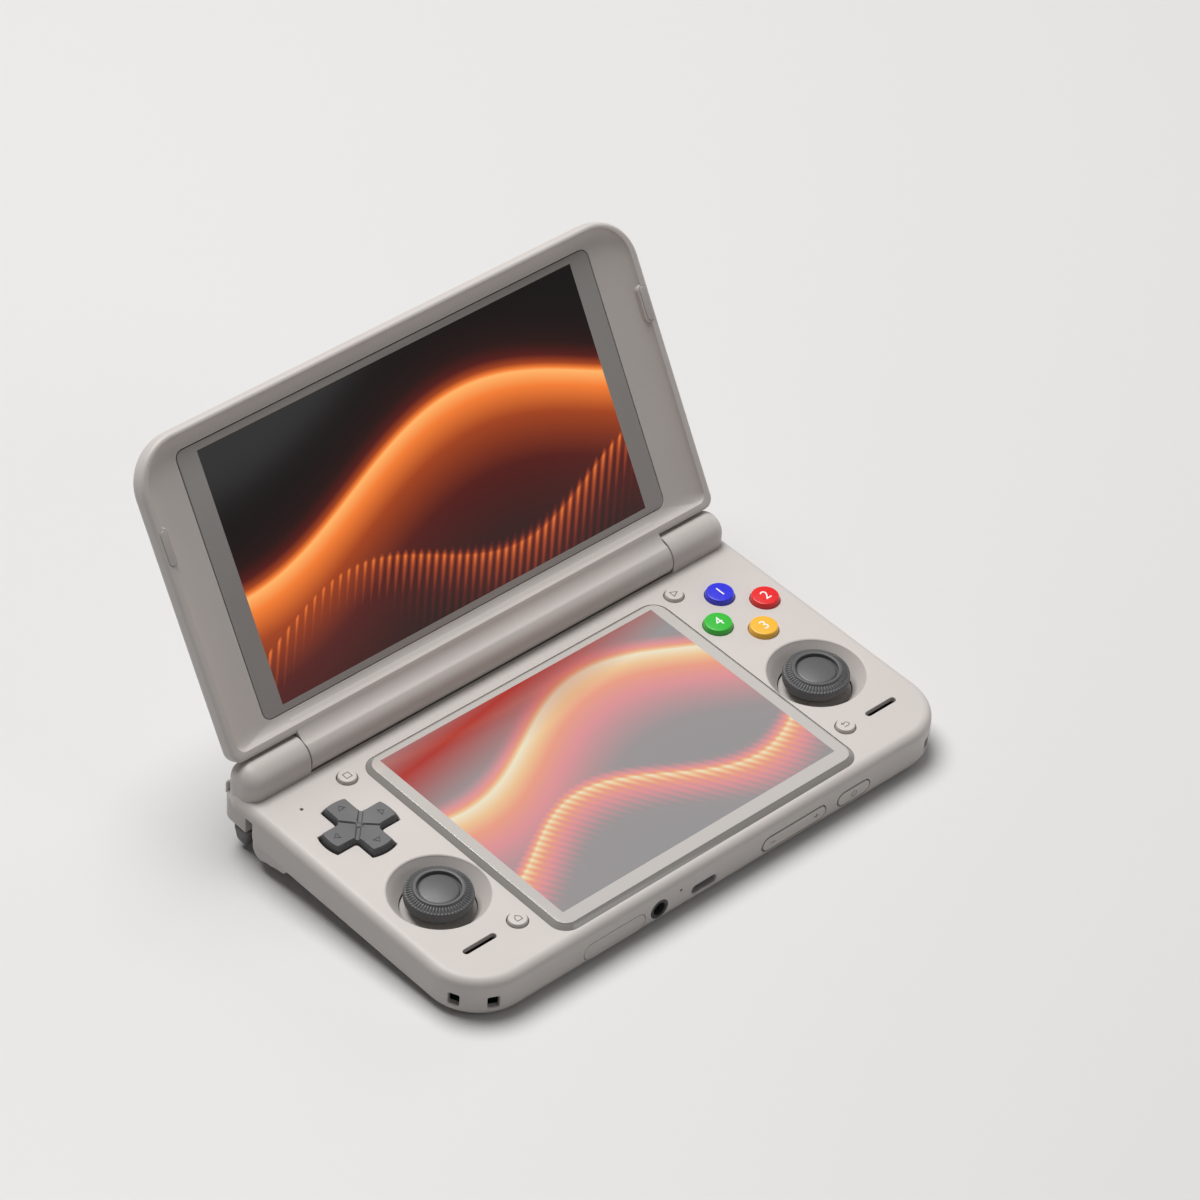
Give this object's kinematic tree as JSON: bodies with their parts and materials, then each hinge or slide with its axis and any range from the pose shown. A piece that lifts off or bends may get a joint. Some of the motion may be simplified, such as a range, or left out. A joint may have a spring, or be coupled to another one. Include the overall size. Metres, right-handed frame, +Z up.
{
  "type": "clamshell handheld game console",
  "caption": "Clamshell handheld game console with a display in the lid and one in the base, thumbsticks, a direction pad, round buttons, shoulder keys and front ports.",
  "frame": {"origin": "bottom centre of the object's box, on the table under the console as it stands open", "axes": "+X along the hinge to the user's right, +Y to the rear, +Z up"},
  "size_m": [0.163, 0.13, 0.1039],
  "materials": {
    "shell": "fine matt texture, warm light grey",
    "shell_dark": "fine matt texture, warm grey",
    "lower_glass": "glossy, back-printed warm grey border",
    "upper_glass": "glossy, back-printed grey border",
    "display": "dark display stack",
    "circuit_board": "solder mask green",
    "cell_wrap": "black cell wrap",
    "dark_plastic": "matt dark grey",
    "copper": "bare copper",
    "steel": "satin steel",
    "silicone": "matt grey",
    "blue": "satin blue",
    "red": "satin red",
    "yellow": "satin yellow",
    "green": "satin green",
    "small_key": "matt warm grey",
    "clear_light": "clear",
    "rubber": "matt black"
  },
  "bodies": {
    "base": {"base_top_cover": "shell", "base_bottom_cover": "shell_dark", "lower_display_glass": "lower_glass", "lower_display_panel": "display", "main_board": "circuit_board", "battery": "cell_wrap", "fan_housing": "dark_plastic", "heatsink": "copper", "rear_vent_grille": "dark_plastic", "headphone_jack": "dark_plastic", "usb_c_port": "steel", "card_socket": "steel", "speaker_left": "dark_plastic", "speaker_right": "dark_plastic", "stick_housing_left": "dark_plastic", "stick_housing_right": "dark_plastic", "stick_collar_left": "shell_dark", "stick_collar_right": "shell_dark", "button_membrane_left": "silicone", "button_membrane_right": "silicone", "control_board_left": "circuit_board", "control_board_right": "circuit_board", "shoulder_pins": "steel", "side_switches": "steel", "status_light": "clear_light", "lanyard_posts": "steel", "base_screws": "steel", "rubber_feet": "rubber", "hinge_pins": "steel"},
    "lid": {"lid_back_cover": "shell", "lid_bezel": "shell", "upper_display_glass": "upper_glass", "upper_display_panel": "display", "lid_buffers": "rubber", "lid_magnets": "steel"},
    "fan_rotor": {"fan_impeller": "dark_plastic"},
    "card_door": {"card_cover": "shell"},
    "volume_key": {"volume_rocker": "small_key"},
    "power_key": {"power_button": "small_key"},
    "dpad_ball": {"dpad_pivot": "steel"},
    "direction_pad": {"dpad": "dark_plastic"},
    "stick_bail_left": {"stick_gimbal_left": "steel"},
    "stick_lever_left": {"stick_shaft_left": "steel"},
    "stick_top_left": {"stick_cap_left": "dark_plastic"},
    "bumper_key_left": {"bumper_left": "shell_dark"},
    "trigger_key_left": {"trigger_left": "dark_plastic"},
    "stick_bail_right": {"stick_gimbal_right": "steel"},
    "stick_lever_right": {"stick_shaft_right": "steel"},
    "stick_top_right": {"stick_cap_right": "dark_plastic"},
    "bumper_key_right": {"bumper_right": "shell_dark"},
    "trigger_key_right": {"trigger_right": "dark_plastic"},
    "key_top": {"button_top": "blue"},
    "key_right": {"button_right": "red"},
    "key_bottom": {"button_bottom": "yellow"},
    "key_left": {"button_left": "green"},
    "key_square": {"button_square": "small_key"},
    "key_triangle": {"button_triangle": "small_key"},
    "key_home": {"button_home": "small_key"},
    "key_return": {"button_return": "small_key"}
  },
  "joints": [
    {"name": "lid_hinge", "type": "hinge", "parent": "base", "child": "lid", "pos_m": [0, 0.02414, 0.02219], "axis": [-1, 0, 0], "range_deg": [-120, 30]},
    {"name": "stick_left_forward", "type": "hinge", "parent": "base", "child": "stick_bail_left", "pos_m": [-0.0636, -0.0316, 0.00683], "axis": [1, 0, 0], "range_deg": [-8, 8], "stiffness_Nm_per_rad": 0.01},
    {"name": "stick_left_sideways", "type": "hinge", "parent": "stick_bail_left", "child": "stick_lever_left", "pos_m": [-0.0636, -0.0316, 0.00683], "axis": [0, 0.9967, 0.0809], "range_deg": [-8, 8], "stiffness_Nm_per_rad": 0.01},
    {"name": "stick_left_click", "type": "slide", "parent": "stick_lever_left", "child": "stick_top_left", "axis": [0, 0.0809, -0.9967], "range_m": [0, 0.0004], "stiffness_N_per_m": 800},
    {"name": "bumper_left_press", "type": "hinge", "parent": "base", "child": "bumper_key_left", "pos_m": [-0.0532, 0.02561, 0.01518], "axis": [0, -0.0809, 0.9967], "range_deg": [0, 2.4], "stiffness_Nm_per_rad": 0.3},
    {"name": "trigger_left_pull", "type": "hinge", "parent": "base", "child": "trigger_key_left", "pos_m": [-0.05, 0.0251, 0.00541], "axis": [-1, 0, 0], "range_deg": [0, 14], "stiffness_Nm_per_rad": 0.02},
    {"name": "stick_right_forward", "type": "hinge", "parent": "base", "child": "stick_bail_right", "pos_m": [0.0636, -0.0316, 0.00683], "axis": [1, 0, 0], "range_deg": [-8, 8], "stiffness_Nm_per_rad": 0.01},
    {"name": "stick_right_sideways", "type": "hinge", "parent": "stick_bail_right", "child": "stick_lever_right", "pos_m": [0.0636, -0.0316, 0.00683], "axis": [0, 0.9967, 0.0809], "range_deg": [-8, 8], "stiffness_Nm_per_rad": 0.01},
    {"name": "stick_right_click", "type": "slide", "parent": "stick_lever_right", "child": "stick_top_right", "axis": [0, 0.0809, -0.9967], "range_m": [0, 0.0004], "stiffness_N_per_m": 800},
    {"name": "bumper_right_press", "type": "hinge", "parent": "base", "child": "bumper_key_right", "pos_m": [0.0532, 0.02561, 0.01518], "axis": [0, 0.0809, -0.9967], "range_deg": [0, 2.4], "stiffness_Nm_per_rad": 0.3},
    {"name": "trigger_right_pull", "type": "hinge", "parent": "base", "child": "trigger_key_right", "pos_m": [0.05, 0.0251, 0.00541], "axis": [-1, 0, 0], "range_deg": [0, 14], "stiffness_Nm_per_rad": 0.02},
    {"name": "dpad_up_down", "type": "hinge", "parent": "base", "child": "dpad_ball", "pos_m": [-0.06455, -0.00303, 0.01391], "axis": [1, 0, 0], "range_deg": [-3, 3], "stiffness_Nm_per_rad": 0.1},
    {"name": "dpad_left_right", "type": "hinge", "parent": "dpad_ball", "child": "direction_pad", "pos_m": [-0.06455, -0.00303, 0.01391], "axis": [0, 0.9967, 0.0809], "range_deg": [-3, 3], "stiffness_Nm_per_rad": 0.1},
    {"name": "press_top", "type": "slide", "parent": "base", "child": "key_top", "axis": [0, 0.0809, -0.9967], "range_m": [0, 0.0008], "stiffness_N_per_m": 600},
    {"name": "press_right", "type": "slide", "parent": "base", "child": "key_right", "axis": [0, 0.0809, -0.9967], "range_m": [0, 0.0008], "stiffness_N_per_m": 600},
    {"name": "press_bottom", "type": "slide", "parent": "base", "child": "key_bottom", "axis": [0, 0.0809, -0.9967], "range_m": [0, 0.0008], "stiffness_N_per_m": 600},
    {"name": "press_left", "type": "slide", "parent": "base", "child": "key_left", "axis": [0, 0.0809, -0.9967], "range_m": [0, 0.0008], "stiffness_N_per_m": 600},
    {"name": "press_square", "type": "slide", "parent": "base", "child": "key_square", "axis": [0, 0.0809, -0.9967], "range_m": [0, 0.0005], "stiffness_N_per_m": 800},
    {"name": "press_triangle", "type": "slide", "parent": "base", "child": "key_triangle", "axis": [0, 0.0809, -0.9967], "range_m": [0, 0.0005], "stiffness_N_per_m": 800},
    {"name": "press_home", "type": "slide", "parent": "base", "child": "key_home", "axis": [0, 0.0809, -0.9967], "range_m": [0, 0.0005], "stiffness_N_per_m": 800},
    {"name": "press_return", "type": "slide", "parent": "base", "child": "key_return", "axis": [0, 0.0809, -0.9967], "range_m": [0, 0.0005], "stiffness_N_per_m": 800},
    {"name": "volume_rock", "type": "hinge", "parent": "base", "child": "volume_key", "pos_m": [0.025, -0.06384, 0.00471], "axis": [0, -0.0809, 0.9967], "range_deg": [-1.2, 1.2], "stiffness_Nm_per_rad": 0.15},
    {"name": "power_press", "type": "slide", "parent": "base", "child": "power_key", "axis": [0, 0.9967, 0.0809], "range_m": [0, 0.0004], "stiffness_N_per_m": 800},
    {"name": "card_door_pull", "type": "slide", "parent": "base", "child": "card_door", "axis": [0, -0.9967, -0.0809], "range_m": [0, 0.006]},
    {"name": "fan_spin", "type": "hinge", "parent": "base", "child": "fan_rotor", "pos_m": [0, -0.00338, 0.00771], "axis": [0, -0.0809, 0.9967], "continuous": true}
  ]
}
